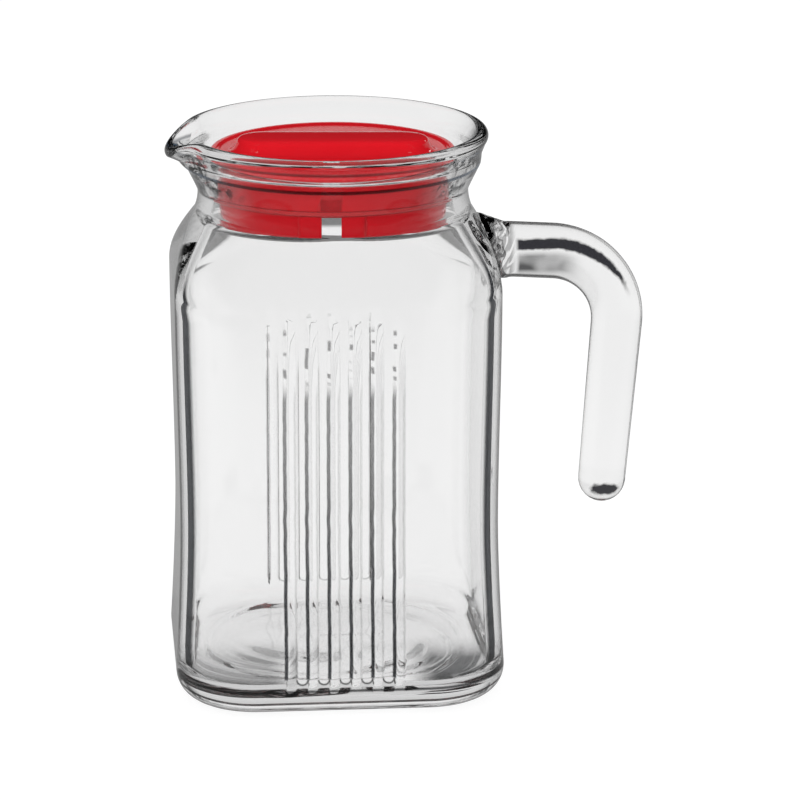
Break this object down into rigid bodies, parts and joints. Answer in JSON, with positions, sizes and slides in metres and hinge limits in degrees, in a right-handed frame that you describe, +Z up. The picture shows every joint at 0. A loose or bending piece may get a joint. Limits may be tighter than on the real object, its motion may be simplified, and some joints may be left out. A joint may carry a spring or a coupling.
{
  "type": "cold water pitcher with lid",
  "caption": "Square glass water jug with a round neck, pouring lip, reeded panels, an open glass handle and a red plug lid that turns and lifts out.",
  "frame": {"origin": "middle of the flat underside, on the axis of the neck", "axes": "+Z up along the axis of the neck, the spout to -X, the handle to +X, the front panel with the longer reeds to -Y"},
  "size_m": [0.1501, 0.1054, 0.1758],
  "materials": {
    "jug_glass": "fire-polished clear soda-lime glass",
    "handle_glass": "fire-polished clear soda-lime glass",
    "lid_plastic": "glossy moulded polyethylene",
    "ring_rubber": "satin soft thermoplastic rubber"
  },
  "bodies": {
    "jug": {"jug_base": "jug_glass", "jug_wall": "jug_glass", "jug_shoulder": "jug_glass", "jug_neck": "jug_glass", "jug_lip": "jug_glass", "front_reeds": "jug_glass", "back_reeds": "jug_glass", "handle_root": "handle_glass", "handle": "handle_glass"},
    "ring": {"sealing_ring": "ring_rubber"},
    "lid": {"lid_top": "lid_plastic", "lid_grip": "lid_plastic", "lid_plug": "lid_plastic"}
  },
  "joints": [
    {"name": "lid_lift", "type": "slide", "parent": "jug", "child": "ring", "axis": [0, 0, 1], "range_m": [0, 0.035]},
    {"name": "lid_turn", "type": "hinge", "parent": "ring", "child": "lid", "pos_m": [0, 0, 0.158], "axis": [0, 0, 1], "continuous": true}
  ]
}
